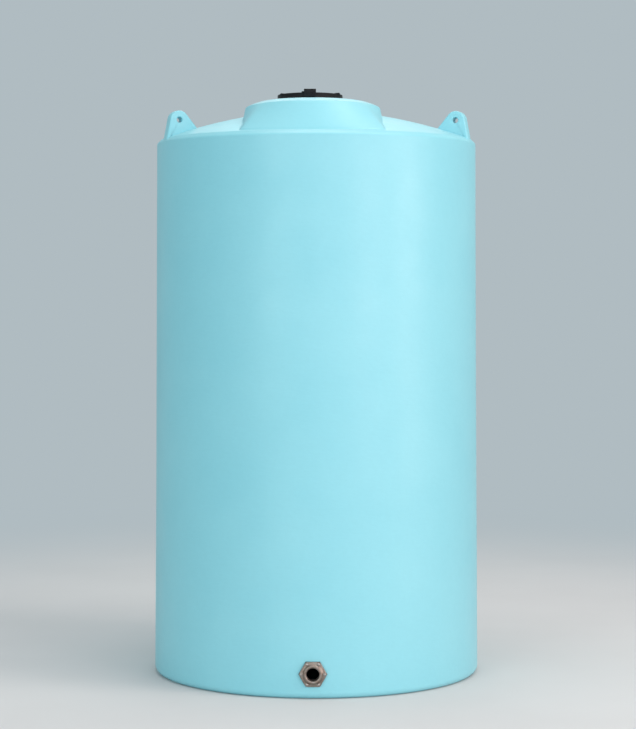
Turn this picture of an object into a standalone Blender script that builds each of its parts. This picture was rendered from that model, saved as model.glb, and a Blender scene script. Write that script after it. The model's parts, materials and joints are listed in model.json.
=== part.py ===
"""Vertical storage tank: a one-piece moulded body with a domed roof, a raised manway platform
near the front, lifting lugs on the shoulder, a hinged manway lid and a bolted outlet fitting.

Metres, +Z up. The origin is the centre of the base. The front, with the outlet, faces -Y.
The moulded skin is divided where its forms change, so each form is a solid of its own.
"""
import math

import bmesh
import bpy
from mathutils import Matrix

# Body
TANK_RADIUS = 1.143
SKIN = 0.012
CROWN_HEIGHT = 3.979
DOME_CONE = 0.029
DOME_BOW = 0.1511
SHOULDER_START = 1.108
SHOULDER_SLOPE = math.radians(45)
SHOULDER_RADIUS = 0.020
CHIME_RADIUS = 0.044
CHIME_HEIGHT = 0.060
PANELS = 8
PANEL_FACETS = 9
OUTLET_COURSE_TOP = 0.300
DOME_RINGS = 6
ARC_STEPS = 4
CORNER_STEPS = 3
GAP = 0.0003

# Raised platform that carries the manway
PLATFORM_X = -0.0245
PLATFORM_Y = -0.545
PLATFORM_TOP = 3.990
PLATFORM_FOOT_HEIGHT = 3.763
PLATFORM_FOOT_HALF_WIDTH = 0.505
PLATFORM_FRONT_RADIUS = 1.103
PLATFORM_TOP_RADIUS = 0.462
PLATFORM_EDGE_WIDTH = 0.155
PLATFORM_EDGE_DROP = 0.078
PLATFORM_EDGE_STEPS = 6
PLATFORM_CORNER_POWER = 36
PLATFORM_POINTS = 60
PLATFORM_SEAT = 0.018
PLATFORM_ROOT_DEPTH = 0.070

# Manway: ring, gasket and lid, with heights above the platform's top
MANWAY_X = -0.043
MANWAY_Y = -0.530
MANWAY_FACETS = 48
PIN_FACETS = 12
KNUCKLE_FACETS = 16
EYE_FACETS = 16
THROAT_RADIUS = 0.196
THROAT_CLEARANCE = 0.0015
NECK_RADIUS = 0.206
NECK_TOP = 0.036
SPIGOT_RADIUS = 0.2015
SPIGOT_DEPTH = 0.030
RING_FLANGE_RADIUS = 0.236
RING_FLANGE_TOP = 0.0105
GASKET_TOP = 0.040
LID_RADIUS = 0.224
LID_SKIRT = 0.008
LID_BOTTOM = 0.017
LID_UNDERSIDE = 0.0405
LID_PANEL = 0.0465
LID_TOP = 0.051
LID_PANEL_RADIUS = 0.195
LID_RIM_RADIUS = 0.202
LID_CHAMFER = 0.004
LID_CLIP_ANGLES = (-120, -60, 60, 120)
LID_CLIP_SIZE = (0.040, 0.030, 0.014)
LID_CLIP_TOP = 0.056
LID_CLIP_EDGE = 0.004
LID_CLIP_PROUD = 0.004

# Lid hinge, behind the lid, and latch block, in front of it
HINGE_SETBACK = 0.246
HINGE_HEIGHT = 0.024
KNUCKLE_RADIUS = 0.010
KNUCKLE_WIDTH = 0.060
EAR_GAP = 0.0015
EAR_WIDTH = 0.014
EAR_RADIUS = 0.012
EAR_SINK = 0.002
EAR_TAB_LAP = 0.012
EAR_TAB_MARGIN = 0.005
PIN_RADIUS = 0.0040
PIN_CLEARANCE = 0.0004
PIN_OVERHANG = 0.003
PIN_BORE_REACH = 0.1
LID_ARM_LOW = 0.020
LID_ARM_HIGH = 0.030
LATCH_WIDTH = 0.082
LATCH_REACH = 0.020
LATCH_COVER = 0.030
LATCH_TOP = 0.073
LATCH_BOTTOM = 0.019
LATCH_CHAMFER = 0.006

# Lifting lugs: outlines in the plane of the tank's axis, as radius and height
LUG_AZIMUTHS = {"right": -18.3, "left": 201.0, "back": 90.0}
LUG_THICKNESS = 0.085
LUG_EDGE = 0.008
LUG_EYE_CENTRE = (1.034, 3.883)
LUG_EYE_RADIUS = 0.020
LUG_TOP_RADIUS = 0.064
LUG_OUTER_FOOT = (1.141, 3.680)
LUG_INNER_FOOT = (0.860, 3.774)
LUG_ARC_STEPS = 8

# Bolted outlet fitting
OUTLET_X = -0.023
OUTLET_Z = 0.1665
OUTLET_BORE = 0.042
OUTLET_WALL_HOLE = 0.044
OUTLET_HEX_RADIUS = 0.095
OUTLET_FLANGE = 0.014
OUTLET_GASKET = 0.007
OUTLET_HUB_RADIUS = 0.052
OUTLET_HUB = 0.010
OUTLET_HUB_ROOT = 0.004
OUTLET_CUT_REACH = 0.2
OUTLET_INNER_GASKET = 0.009
OUTLET_INNER_FLANGE = 0.012
OUTLET_FACETS = 32
BOLTS = 6
BOLT_CIRCLE = 0.077
BOLT_RADIUS = 0.006
BOLT_HOLE = 0.0068
BOLT_HEAD_RADIUS = 0.0098
BOLT_HEAD = 0.008
BOLT_NUT_RADIUS = 0.0115
BOLT_NUT = 0.010
BOLT_END = 0.006
BOLT_SIDES = 6
BOLT_HOLE_FACETS = 12

# Finishes: base colour, roughness, metallic
POLYETHYLENE = ((0.36, 0.76, 0.85, 1.0), 0.42, 0.0)
BLACK_PLASTIC = ((0.016, 0.016, 0.018, 1.0), 0.38, 0.0)
BLACK_RUBBER = ((0.022, 0.022, 0.022, 1.0), 0.75, 0.0)
STAINLESS = ((0.42, 0.36, 0.31, 1.0), 0.36, 1.0)

FACETS = PANELS * PANEL_FACETS
PANEL_SWEEP = 2 * math.pi / PANELS
FIRST_PANEL_START = -math.pi / 2 - PANEL_SWEEP / 2


def clear_scene():
    for obj in list(bpy.data.objects):
        bpy.data.objects.remove(obj)


def empty(name, location=(0, 0, 0), parent=None):
    obj = bpy.data.objects.new(name, None)
    obj.location = location
    obj.parent = parent
    bpy.context.scene.collection.objects.link(obj)
    return obj


def add_object(name, mesh_data, parent, finish):
    """An object from a bmesh, shaded smooth up to its sharp edges, with a material of its own."""
    mesh = bpy.data.meshes.new(name)
    bmesh.ops.recalc_face_normals(mesh_data, faces=mesh_data.faces)
    mesh_data.to_mesh(mesh)
    mesh_data.free()
    mesh.shade_smooth()
    mesh.set_sharp_from_angle(angle=math.radians(30))
    obj = bpy.data.objects.new(name, mesh)
    obj.parent = parent
    bpy.context.scene.collection.objects.link(obj)
    if finish is None:
        obj.hide_render = True
        obj.display_type = 'WIRE'
    else:
        colour, roughness, metallic = finish
        material = bpy.data.materials.new(name)
        material.use_nodes = True
        shader = material.node_tree.nodes["Principled BSDF"]
        shader.inputs["Base Color"].default_value = colour
        shader.inputs["Roughness"].default_value = roughness
        shader.inputs["Metallic"].default_value = metallic
        mesh.materials.append(material)
    return obj


def boolean(target, tool, operation='DIFFERENCE'):
    """Cut a tool away from a target, join it on, or keep what they share."""
    modifier = target.modifiers.new(f"{operation.lower()} {tool.name}", 'BOOLEAN')
    modifier.operation = operation
    modifier.solver = 'EXACT'
    modifier.object = tool


def turned(profile, steps, closed, start=0.0):
    """A body turned about Z from a profile of (radius, height) points.

    A closed profile lies off the axis; an open one begins and ends on it.
    """
    mesh = bmesh.new()
    verts = [mesh.verts.new((radius, 0, height)) for radius, height in profile]
    edges = [mesh.edges.new(pair) for pair in zip(verts, verts[1:])]
    if closed:
        edges.append(mesh.edges.new((verts[-1], verts[0])))
    bmesh.ops.rotate(mesh, verts=verts, cent=(0, 0, 0), matrix=Matrix.Rotation(start, 3, 'Z'))
    bmesh.ops.spin(mesh, geom=verts + edges, cent=(0, 0, 0), axis=(0, 0, 1),
                   angle=2 * math.pi, steps=steps, use_merge=True)
    bmesh.ops.remove_doubles(mesh, verts=mesh.verts, dist=1e-6)
    bmesh.ops.dissolve_degenerate(mesh, edges=mesh.edges, dist=1e-7)
    return mesh


def turned_segment(profile, steps, start, sweep):
    """Part of a turn, closed with a flat face at each end."""
    mesh = bmesh.new()
    face = mesh.faces.new([mesh.verts.new((radius, 0, height)) for radius, height in profile])
    bmesh.ops.rotate(mesh, verts=face.verts, cent=(0, 0, 0), matrix=Matrix.Rotation(start, 3, 'Z'))
    bmesh.ops.spin(mesh, geom=[face], cent=(0, 0, 0), axis=(0, 0, 1), angle=sweep, steps=steps)
    return mesh


def prism(outline, bottom, top):
    """An upright prism from an outline of (x, y) points."""
    mesh = bmesh.new()
    face = mesh.faces.new([mesh.verts.new((x, y, bottom)) for x, y in outline])
    extruded = bmesh.ops.extrude_face_region(mesh, geom=[face])
    raised = [item for item in extruded["geom"] if isinstance(item, bmesh.types.BMVert)]
    bmesh.ops.translate(mesh, verts=raised, vec=(0, 0, top - bottom))
    return mesh


def lofted(rings, capped=False):
    """A body through rings of equal numbers of points: hollow, closed from the last ring back to
    the first, or solid with a cap on each end."""
    mesh = bmesh.new()
    loops = [[mesh.verts.new(point) for point in ring] for ring in rings]
    pairs = list(zip(loops, loops[1:]))
    if capped:
        mesh.faces.new(loops[0])
        mesh.faces.new(loops[-1])
    else:
        pairs.append((loops[-1], loops[0]))
    for low, high in pairs:
        for i in range(len(low)):
            j = (i + 1) % len(low)
            mesh.faces.new((low[i], low[j], high[j], high[i]))
    return mesh


def block(size, centre):
    mesh = bmesh.new()
    bmesh.ops.create_cube(mesh, size=1.0)
    bmesh.ops.scale(mesh, verts=mesh.verts, vec=size)
    bmesh.ops.translate(mesh, verts=mesh.verts, vec=centre)
    return mesh


def rounded(mesh, width, segments=2):
    bmesh.ops.bevel(mesh, geom=mesh.edges[:], offset=width, segments=segments, affect='EDGES')
    return mesh


def regular_outline(radius, sides, turn=0.0, centre=(0, 0)):
    angles = [turn + 2 * math.pi * i / sides for i in range(sides)]
    return [(centre[0] + radius * math.cos(a), centre[1] + radius * math.sin(a)) for a in angles]


def lay_along_y(mesh):
    """Turn a body whose axis is Z so that its top faces the front, -Y."""
    bmesh.ops.rotate(mesh, verts=mesh.verts, cent=(0, 0, 0), matrix=Matrix.Rotation(math.pi / 2, 3, 'X'))
    return mesh


def lay_along_x(mesh):
    bmesh.ops.rotate(mesh, verts=mesh.verts, cent=(0, 0, 0), matrix=Matrix.Rotation(math.pi / 2, 3, 'Y'))
    return mesh


def joined(meshes):
    """Several closed bodies in one bmesh, used for cutters."""
    whole = bmesh.new()
    for mesh in meshes:
        data = bpy.data.meshes.new("joined part")
        mesh.to_mesh(data)
        mesh.free()
        whole.from_mesh(data)
        bpy.data.meshes.remove(data)
    return whole


def dome_height(radius):
    return CROWN_HEIGHT - DOME_CONE * radius - DOME_BOW * radius ** 2


def dome_slope(radius):
    return math.atan(DOME_CONE + 2 * DOME_BOW * radius)


def wall_top():
    """Height at which the wall's straight face ends and the corner under the shoulder begins."""
    across = TANK_RADIUS - SHOULDER_RADIUS - SHOULDER_START
    drop = (SHOULDER_RADIUS + across * math.sin(SHOULDER_SLOPE)) / math.cos(SHOULDER_SLOPE)
    return dome_height(SHOULDER_START) - drop


def roof_surface(offset):
    """Profile from the crown, over the dome and the sloping shoulder, round the corner to the top of
    the wall, moved outward along its normals by offset."""
    points = [(0.0, CROWN_HEIGHT + offset)]
    for i in range(1, DOME_RINGS):
        radius = SHOULDER_START * i / DOME_RINGS
        slope = dome_slope(radius)
        points.append((radius + offset * math.sin(slope), dome_height(radius) + offset * math.cos(slope)))
    half_bend = (SHOULDER_SLOPE - dome_slope(SHOULDER_START)) / 2
    lean = SHOULDER_SLOPE - half_bend
    reach = offset / math.cos(half_bend)
    start_height = dome_height(SHOULDER_START)
    points.append((SHOULDER_START + reach * math.sin(lean), start_height + reach * math.cos(lean)))
    reach = SHOULDER_RADIUS + offset
    for i in range(CORNER_STEPS + 1):
        angle = (math.pi / 2 - SHOULDER_SLOPE) * (1 - i / CORNER_STEPS)
        radius = TANK_RADIUS - SHOULDER_RADIUS + reach * math.cos(angle)
        points.append((radius, wall_top() + reach * math.sin(angle)))
    return points


def chime_surface(inset):
    """Profile from the centre of the base, round the chime, to the foot of the wall."""
    centre_radius = TANK_RADIUS - CHIME_RADIUS
    reach = CHIME_RADIUS - inset
    points = [(0.0, inset)]
    for i in range(ARC_STEPS + 1):
        angle = math.pi / 2 * i / ARC_STEPS
        points.append((centre_radius + reach * math.sin(angle), CHIME_RADIUS - reach * math.cos(angle)))
    points.append((TANK_RADIUS - inset, CHIME_HEIGHT))
    return points


def roof_envelope(name, tank):
    """Everything under the roof's outer face, with a touching gap: it seats what stands on the roof."""
    profile = roof_surface(GAP)
    profile.append((TANK_RADIUS + GAP, CROWN_HEIGHT / 2))
    profile.append((0.0, CROWN_HEIGHT / 2))
    return add_object(name, turned(profile, FACETS, False, FIRST_PANEL_START), tank, None)


def build_floor(tank):
    profile = chime_surface(0) + chime_surface(SKIN)[::-1]
    add_object("tank_floor", turned(profile, FACETS, False, FIRST_PANEL_START), tank, POLYETHYLENE)


def wall_piece(name, tank, first_facet, facets, low, high):
    """A stretch of the round wall, counted in facets from the left edge of the front panel."""
    inner = TANK_RADIUS - SKIN
    profile = [(inner, low), (TANK_RADIUS, low), (TANK_RADIUS, high), (inner, high)]
    seam = GAP / TANK_RADIUS
    facet = 2 * math.pi / FACETS
    start = FIRST_PANEL_START + first_facet * facet + seam / 2
    return add_object(name, turned_segment(profile, facets, start, facets * facet - seam), tank, POLYETHYLENE)


def build_wall(tank, outlet_cutter):
    """Eight panels round the tank. The first is the front one, and stands on a short course of
    three pieces, the middle one of which holds the outlet."""
    foot = CHIME_HEIGHT + GAP
    head = wall_top() - GAP
    wall_piece("wall_panel_1", tank, 0, PANEL_FACETS, OUTLET_COURSE_TOP + GAP, head)
    for index in range(1, PANELS):
        wall_piece(f"wall_panel_{index + 1}", tank, index * PANEL_FACETS, PANEL_FACETS, foot, head)
    third = PANEL_FACETS // 3
    wall_piece("wall_foot_left", tank, 0, third, foot, OUTLET_COURSE_TOP)
    wall_piece("wall_foot_right", tank, 2 * third, third, foot, OUTLET_COURSE_TOP)
    pad = wall_piece("outlet_pad", tank, third, third, foot, OUTLET_COURSE_TOP)
    boolean(pad, outlet_cutter)


def build_roof(tank):
    """The dome and shoulder, open under the platform, with a ledge for the platform to stand on."""
    profile = roof_surface(0) + roof_surface(-SKIN)[::-1]
    roof = add_object("tank_roof", turned(profile, FACETS, False, FIRST_PANEL_START), tank, POLYETHYLENE)
    ledge = SKIN + PLATFORM_SEAT
    rings = [[platform_point(i, h, ledge) for i in range(PLATFORM_POINTS)] for h in platform_heights(ledge)]
    rings.append([(x, y, CROWN_HEIGHT + 1) for x, y, _ in rings[-1]])
    boolean(roof, add_object("platform_opening_cutter", lofted(rings, capped=True), tank, None))


def platform_foot_radius(angle):
    """Plan of the platform's foot: round at the back, straight at the sides, and in front
    following the shoulder, with rounded corners. The angle is measured from the front."""
    if math.cos(angle) <= 0:
        return PLATFORM_FOOT_HALF_WIDTH
    along = PLATFORM_X * math.sin(angle) - PLATFORM_Y * math.cos(angle)
    centre_squared = PLATFORM_X ** 2 + PLATFORM_Y ** 2
    front = math.sqrt(along ** 2 - centre_squared + PLATFORM_FRONT_RADIUS ** 2) - along
    side = PLATFORM_FOOT_HALF_WIDTH / max(abs(math.sin(angle)), 1e-6)
    power = PLATFORM_CORNER_POWER
    return (front ** -power + side ** -power) ** (-1 / power)


def platform_point(index, height, inset):
    """A point of the platform's side, or of a skin that lies inside it by the inset: it narrows from
    the foot's plan to a round top, whose edge is rounded over as a quarter of an ellipse."""
    angle = 2 * math.pi * index / PLATFORM_POINTS
    rise = max(0.0, (height - PLATFORM_FOOT_HEIGHT) / (PLATFORM_TOP - PLATFORM_FOOT_HEIGHT))
    radius = platform_foot_radius(angle) * (1 - rise) + PLATFORM_TOP_RADIUS * rise
    over = max(0.0, height - (PLATFORM_TOP - PLATFORM_EDGE_DROP)) / (PLATFORM_EDGE_DROP - inset)
    radius -= (PLATFORM_EDGE_WIDTH - inset) * (1 - math.sqrt(max(0.0, 1 - over ** 2)))
    radius -= inset
    return (PLATFORM_X + radius * math.sin(angle), PLATFORM_Y - radius * math.cos(angle), height)


def platform_heights(inset):
    """Heights of the rings: the root, the foot, the start of the top edge, and the edge's curve."""
    edge_start = PLATFORM_TOP - PLATFORM_EDGE_DROP
    heights = [PLATFORM_FOOT_HEIGHT - PLATFORM_ROOT_DEPTH, PLATFORM_FOOT_HEIGHT, edge_start]
    for i in range(1, PLATFORM_EDGE_STEPS + 1):
        turn = math.pi / 2 * i / PLATFORM_EDGE_STEPS
        heights.append(edge_start + (PLATFORM_EDGE_DROP - inset) * math.sin(turn))
    return heights


def build_platform(tank, envelope):
    """A hollow round-topped pedestal that stands on the roof and carries the manway."""
    throat = SPIGOT_RADIUS + THROAT_CLEARANCE
    inner_top = PLATFORM_TOP - SKIN
    indices = range(PLATFORM_POINTS)
    rings = [[platform_point(i, h, 0.0) for i in indices] for h in platform_heights(0.0)]
    for height in (PLATFORM_TOP, inner_top):
        angles = [2 * math.pi * i / PLATFORM_POINTS for i in indices]
        ring = [(MANWAY_X + throat * math.sin(a), MANWAY_Y - throat * math.cos(a), height) for a in angles]
        rings.append(ring)
    for height in reversed(platform_heights(SKIN)):
        rings.append([platform_point(i, height, SKIN) for i in indices])
    platform = add_object("manway_platform", lofted(rings), tank, POLYETHYLENE)
    boolean(platform, envelope)


def lug_outline():
    """Side view of a lug: a leaning outer face, a round top about the eye and a sloping back."""
    centre_r, centre_z = LUG_EYE_CENTRE

    def tangent_angle(foot, side):
        reach_r = foot[0] - centre_r
        reach_z = foot[1] - centre_z
        reach = math.hypot(reach_r, reach_z)
        return math.atan2(reach_z, reach_r) + side * math.acos(LUG_TOP_RADIUS / reach)

    start = tangent_angle(LUG_OUTER_FOOT, 1)
    end = tangent_angle(LUG_INNER_FOOT, -1) % (2 * math.pi)
    arc = [start + (end - start) * i / LUG_ARC_STEPS for i in range(LUG_ARC_STEPS + 1)]
    points = [LUG_OUTER_FOOT]
    for a in arc:
        points.append((centre_r + LUG_TOP_RADIUS * math.cos(a), centre_z + LUG_TOP_RADIUS * math.sin(a)))
    points.append(LUG_INNER_FOOT)
    return points


def build_lugs(tank, envelope):
    for side, azimuth in LUG_AZIMUTHS.items():
        half = LUG_THICKNESS / 2
        mesh = prism(lug_outline(), -half, half)
        rounded(mesh, LUG_EDGE, 1)
        bmesh.ops.rotate(mesh, verts=mesh.verts, cent=(0, 0, 0), matrix=Matrix.Rotation(math.pi / 2, 3, 'X'))
        lug = add_object(f"lifting_lug_{side}", mesh, tank, POLYETHYLENE)
        eye_outline = regular_outline(LUG_EYE_RADIUS, EYE_FACETS, centre=LUG_EYE_CENTRE)
        eye = prism(eye_outline, -LUG_THICKNESS, LUG_THICKNESS)
        bmesh.ops.rotate(eye, verts=eye.verts, cent=(0, 0, 0), matrix=Matrix.Rotation(math.pi / 2, 3, 'X'))
        eye_cutter = add_object(f"lug_eye_cutter_{side}", eye, tank, None)
        for obj in (lug, eye_cutter):
            obj.rotation_euler.z = math.radians(azimuth)
        boolean(lug, eye_cutter)
        boolean(lug, envelope)


def build_manway(tank):
    """The ring bolted to the platform, its gasket, and the hinged lid with its latch block."""
    manway = empty("manway", (MANWAY_X, MANWAY_Y, PLATFORM_TOP), tank)
    hinge = empty("lid_hinge", (0, HINGE_SETBACK, HINGE_HEIGHT), manway)
    ring_profile = [
        (THROAT_RADIUS, -SPIGOT_DEPTH), (SPIGOT_RADIUS, -SPIGOT_DEPTH), (SPIGOT_RADIUS, GAP),
        (RING_FLANGE_RADIUS, GAP), (RING_FLANGE_RADIUS, RING_FLANGE_TOP), (NECK_RADIUS, RING_FLANGE_TOP),
        (NECK_RADIUS, NECK_TOP), (THROAT_RADIUS, NECK_TOP)]
    ring = add_object("manway_ring", turned(ring_profile, MANWAY_FACETS, True), manway, BLACK_PLASTIC)
    gasket_profile = [
        (THROAT_RADIUS, NECK_TOP + GAP), (NECK_RADIUS, NECK_TOP + GAP),
        (NECK_RADIUS, GASKET_TOP), (THROAT_RADIUS, GASKET_TOP)]
    add_object("manway_gasket", turned(gasket_profile, MANWAY_FACETS, True), manway, BLACK_RUBBER)
    build_ring_ears(manway, hinge, ring)
    build_lid(hinge)
    half_pin = KNUCKLE_WIDTH / 2 + EAR_GAP + EAR_WIDTH + PIN_OVERHANG
    pin = lay_along_x(prism(regular_outline(PIN_RADIUS, PIN_FACETS), -half_pin, half_pin))
    add_object("hinge_pin", pin, hinge, STAINLESS)


def build_ring_ears(manway, hinge, ring):
    """A tab at the back of the ring with two ears, bored for the hinge pin."""
    outer = KNUCKLE_WIDTH / 2 + EAR_GAP + EAR_WIDTH
    tab_start = RING_FLANGE_RADIUS - EAR_TAB_LAP
    tab_end = HINGE_SETBACK + EAR_RADIUS + EAR_TAB_MARGIN
    tab = block((2 * (outer + EAR_TAB_MARGIN), tab_end - tab_start, RING_FLANGE_TOP - GAP),
                (0, (tab_start + tab_end) / 2, (RING_FLANGE_TOP + GAP) / 2))
    boolean(ring, add_object("ring_tab_form", tab, manway, None), 'UNION')
    foot = HINGE_HEIGHT - RING_FLANGE_TOP + EAR_SINK
    arc = [math.pi * i / 8 for i in range(9)]
    outline = [(-EAR_RADIUS, -foot), (EAR_RADIUS, -foot)]
    outline += [(EAR_RADIUS * math.cos(a), EAR_RADIUS * math.sin(a)) for a in arc]
    for side in (-1, 1):
        near = KNUCKLE_WIDTH / 2 + EAR_GAP
        ear = upright_plate(outline, near, near + EAR_WIDTH)
        form = add_object(f"ring_ear_form_{'left' if side < 0 else 'right'}", ear, hinge, None)
        if side < 0:
            form.location.x = -(2 * near + EAR_WIDTH)
        boolean(ring, form, 'UNION')
    boolean(ring, add_object("ear_bore_cutter", pin_bore(), hinge, None))


def pin_bore():
    """A cutter for the hinge pin's hole, along the hinge's axis."""
    outline = regular_outline(PIN_RADIUS + PIN_CLEARANCE, PIN_FACETS)
    return lay_along_x(prism(outline, -PIN_BORE_REACH, PIN_BORE_REACH))


def upright_plate(outline, left, right):
    """A plate across X from an outline of (y, z) points."""
    mesh = bmesh.new()
    face = mesh.faces.new([mesh.verts.new((left, y, z)) for y, z in outline])
    extruded = bmesh.ops.extrude_face_region(mesh, geom=[face])
    moved = [item for item in extruded["geom"] if isinstance(item, bmesh.types.BMVert)]
    bmesh.ops.translate(mesh, verts=moved, vec=(right - left, 0, 0))
    bmesh.ops.remove_doubles(mesh, verts=mesh.verts, dist=1e-6)
    return mesh


def build_lid(hinge):
    """The lid turns about the hinge, so its own origin lies on the hinge's axis."""
    profile = [
        (0, LID_PANEL), (LID_PANEL_RADIUS, LID_PANEL), (LID_RIM_RADIUS, LID_TOP),
        (LID_RADIUS - LID_CHAMFER, LID_TOP), (LID_RADIUS, LID_TOP - LID_CHAMFER),
        (LID_RADIUS, LID_BOTTOM), (LID_RADIUS - LID_SKIRT, LID_BOTTOM),
        (LID_RADIUS - LID_SKIRT, LID_UNDERSIDE), (0, LID_UNDERSIDE)]
    mesh = turned(profile, MANWAY_FACETS, False)
    shift = (0, -HINGE_SETBACK, -HINGE_HEIGHT)
    bmesh.ops.translate(mesh, verts=mesh.verts, vec=shift)
    lid = add_object("manway_lid", mesh, hinge, BLACK_PLASTIC)
    width, depth, height = LID_CLIP_SIZE
    for angle in LID_CLIP_ANGLES:
        centre = (0, depth / 2 - LID_RADIUS - LID_CLIP_PROUD, LID_CLIP_TOP - height / 2)
        clip = rounded(block((width, depth, height), centre), LID_CLIP_EDGE, 1)
        turn = Matrix.Rotation(math.radians(angle), 3, 'Z')
        bmesh.ops.rotate(clip, verts=clip.verts, cent=(0, 0, 0), matrix=turn)
        bmesh.ops.translate(clip, verts=clip.verts, vec=shift)
        boolean(lid, add_object(f"lid_clip_form_{angle}", clip, hinge, None), 'UNION')
    half = KNUCKLE_WIDTH / 2
    arm_reach = HINGE_SETBACK - LID_RADIUS + LID_SKIRT / 2
    low = LID_ARM_LOW - HINGE_HEIGHT
    high = LID_ARM_HIGH - HINGE_HEIGHT
    arm = upright_plate([(-arm_reach, low), (0, low), (0, high), (-arm_reach, high)], -half, half)
    boolean(lid, add_object("lid_arm_form", arm, hinge, None), 'UNION')
    knuckle = lay_along_x(prism(regular_outline(KNUCKLE_RADIUS, KNUCKLE_FACETS), -half, half))
    boolean(lid, add_object("lid_knuckle_form", knuckle, hinge, None), 'UNION')
    boolean(lid, add_object("knuckle_bore_cutter", pin_bore(), hinge, None))
    build_latch(hinge)


def build_latch(hinge):
    """A block that hooks over the front of the lid's rim."""
    front = -(LID_RADIUS + LATCH_REACH)
    back = -(LID_RADIUS - LATCH_COVER)
    rim = -(LID_RADIUS + GAP)
    outline = [
        (front, LATCH_BOTTOM), (rim, LATCH_BOTTOM), (rim, LID_TOP + GAP), (back, LID_TOP + GAP),
        (back, LATCH_TOP - LATCH_CHAMFER), (back - LATCH_CHAMFER, LATCH_TOP),
        (front + LATCH_CHAMFER, LATCH_TOP), (front, LATCH_TOP - LATCH_CHAMFER)]
    half = LATCH_WIDTH / 2
    latch = upright_plate([(y - HINGE_SETBACK, z - HINGE_HEIGHT) for y, z in outline], -half, half)
    add_object("lid_latch", latch, hinge, BLACK_PLASTIC)


def bolt_centres():
    return regular_outline(BOLT_CIRCLE, BOLTS)


def outlet_holes(bore, bolt_hole):
    """Cylinders for the bore and the bolt holes, along the fitting's axis."""
    low = TANK_RADIUS - OUTLET_CUT_REACH
    high = TANK_RADIUS + OUTLET_CUT_REACH
    meshes = [prism(regular_outline(bore, OUTLET_FACETS), low, high)]
    for centre in bolt_centres():
        meshes.append(prism(regular_outline(bolt_hole, BOLT_HOLE_FACETS, centre=centre), low, high))
    return lay_along_y(joined(meshes))


def build_outlet(outlet, tank, wall_cutter):
    """Two flanges that clamp the wall between gaskets. Depths are measured outward from the
    tank's axis, in the fitting's own frame, whose top faces the front."""
    hexagon = regular_outline(OUTLET_HEX_RADIUS, 6)
    outer_gasket_face = TANK_RADIUS + OUTLET_GASKET
    flange_face = outer_gasket_face + OUTLET_FLANGE
    inner_gasket_face = TANK_RADIUS - SKIN - OUTLET_INNER_GASKET
    inner_flange_face = inner_gasket_face - OUTLET_INNER_FLANGE

    def plate(name, low, high, finish):
        return add_object(name, lay_along_y(prism(hexagon, low, high)), outlet, finish)

    outer_wall = turned([(0, -1), (TANK_RADIUS + GAP, -1), (TANK_RADIUS + GAP, 1), (0, 1)],
                        FACETS, False, FIRST_PANEL_START)
    outer_wall_form = add_object("outer_wall_form", outer_wall, tank, None)
    inner_radius = TANK_RADIUS - SKIN - GAP
    inner_wall = turned([(0, -1), (inner_radius, -1), (inner_radius, 1), (0, 1)],
                        FACETS, False, FIRST_PANEL_START)
    inner_wall_form = add_object("inner_wall_form", inner_wall, tank, None)

    outer_gasket = plate("outlet_outer_gasket", TANK_RADIUS - SKIN, outer_gasket_face, BLACK_RUBBER)
    boolean(outer_gasket, outer_wall_form)
    boolean(outer_gasket, wall_cutter)
    inner_gasket = plate("outlet_inner_gasket", inner_gasket_face, TANK_RADIUS, BLACK_RUBBER)
    boolean(inner_gasket, inner_wall_form, 'INTERSECT')
    boolean(inner_gasket, wall_cutter)

    flange_cutter = add_object("outlet_flange_cutter", outlet_holes(OUTLET_BORE, BOLT_HOLE), outlet, None)
    flange = plate("outlet_outer_flange", outer_gasket_face + GAP, flange_face, STAINLESS)
    hub_outline = regular_outline(OUTLET_HUB_RADIUS, OUTLET_FACETS)
    hub = lay_along_y(prism(hub_outline, flange_face - OUTLET_HUB_ROOT, flange_face + OUTLET_HUB))
    boolean(flange, add_object("outlet_hub_form", hub, outlet, None), 'UNION')
    boolean(flange, flange_cutter)
    inner_flange = plate("outlet_inner_flange", inner_flange_face, inner_gasket_face - GAP, STAINLESS)
    boolean(inner_flange, flange_cutter)
    build_bolts(outlet, flange_face + GAP, inner_flange_face - GAP)


def build_bolts(outlet, outer_face, inner_face):
    """Each bolt has its head outside, its nut inside and its shank through the wall."""
    profile = [
        (0, outer_face + BOLT_HEAD), (BOLT_HEAD_RADIUS, outer_face + BOLT_HEAD),
        (BOLT_HEAD_RADIUS, outer_face), (BOLT_RADIUS, outer_face),
        (BOLT_RADIUS, inner_face), (BOLT_NUT_RADIUS, inner_face),
        (BOLT_NUT_RADIUS, inner_face - BOLT_NUT), (BOLT_RADIUS, inner_face - BOLT_NUT),
        (BOLT_RADIUS, inner_face - BOLT_NUT - BOLT_END), (0, inner_face - BOLT_NUT - BOLT_END)]
    for index, (across, up) in enumerate(bolt_centres()):
        shape = lay_along_y(turned(profile, BOLT_SIDES, False))
        bolt = add_object(f"outlet_bolt_{index + 1}", shape, outlet, STAINLESS)
        bolt.location = (across, 0, up)


def main():
    clear_scene()
    tank = empty("tank")
    outlet = empty("outlet", (OUTLET_X, 0, OUTLET_Z), tank)
    wall_holes = outlet_holes(OUTLET_WALL_HOLE, BOLT_HOLE)
    wall_cutter = add_object("outlet_wall_cutter", wall_holes, outlet, None)
    envelope = roof_envelope("roof_envelope", tank)
    build_floor(tank)
    build_wall(tank, wall_cutter)
    build_roof(tank)
    build_platform(tank, envelope)
    build_lugs(tank, envelope)
    build_manway(tank)
    build_outlet(outlet, tank, wall_cutter)
    bpy.context.view_layer.update()


main()
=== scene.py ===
"""Looks of the vertical storage tank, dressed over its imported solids.

The moulded body is one smooth skin. The platform runs into the dome with a small fillet, and the
lugs stand in it. The manway and the outlet fitting get their moulded and cast detail. Metres, +Z up,
the front faces -Y, and every piece stands at its own place in the tank's frame.
"""
import json
import math

import bmesh
import bpy
from mathutils import Matrix, Vector


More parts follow.
